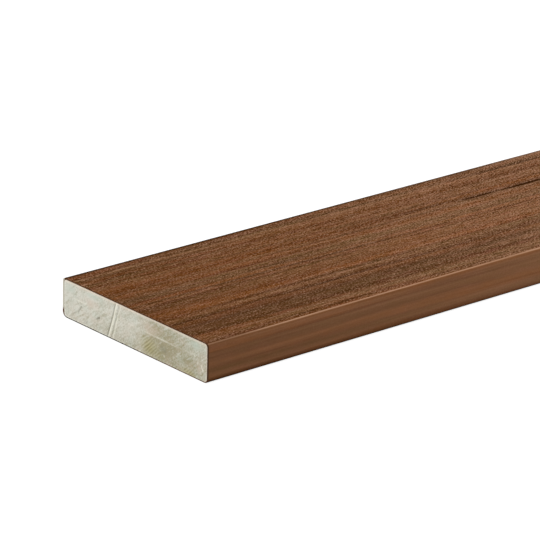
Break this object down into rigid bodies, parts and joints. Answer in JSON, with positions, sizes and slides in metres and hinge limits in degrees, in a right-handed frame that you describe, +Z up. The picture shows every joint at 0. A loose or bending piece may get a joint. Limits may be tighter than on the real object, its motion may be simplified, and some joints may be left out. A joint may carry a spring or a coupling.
{
  "type": "capped decking board",
  "caption": "Solid square-edged decking board: pale foamed plastic core in a thin brown wood-grained cap on all four long faces, ends sawn square; laid flat across joists as a walking surface.",
  "frame": {"origin": "middle of the underside, halfway along the board and halfway across it", "axes": "+X along the length, +Y across the width, +Z up through the thickness, out of the walking face"},
  "size_m": [3.6576, 0.1396, 0.0254],
  "materials": {
    "core_foam": "sawn fine-celled foam, pale grey-beige, matte",
    "cap_skin": "embossed wood grain, reddish brown with darker and orange streaks, satin to matte"
  },
  "bodies": {
    "root": {"core": "core_foam", "cap": "cap_skin"}
  },
  "joints": []
}
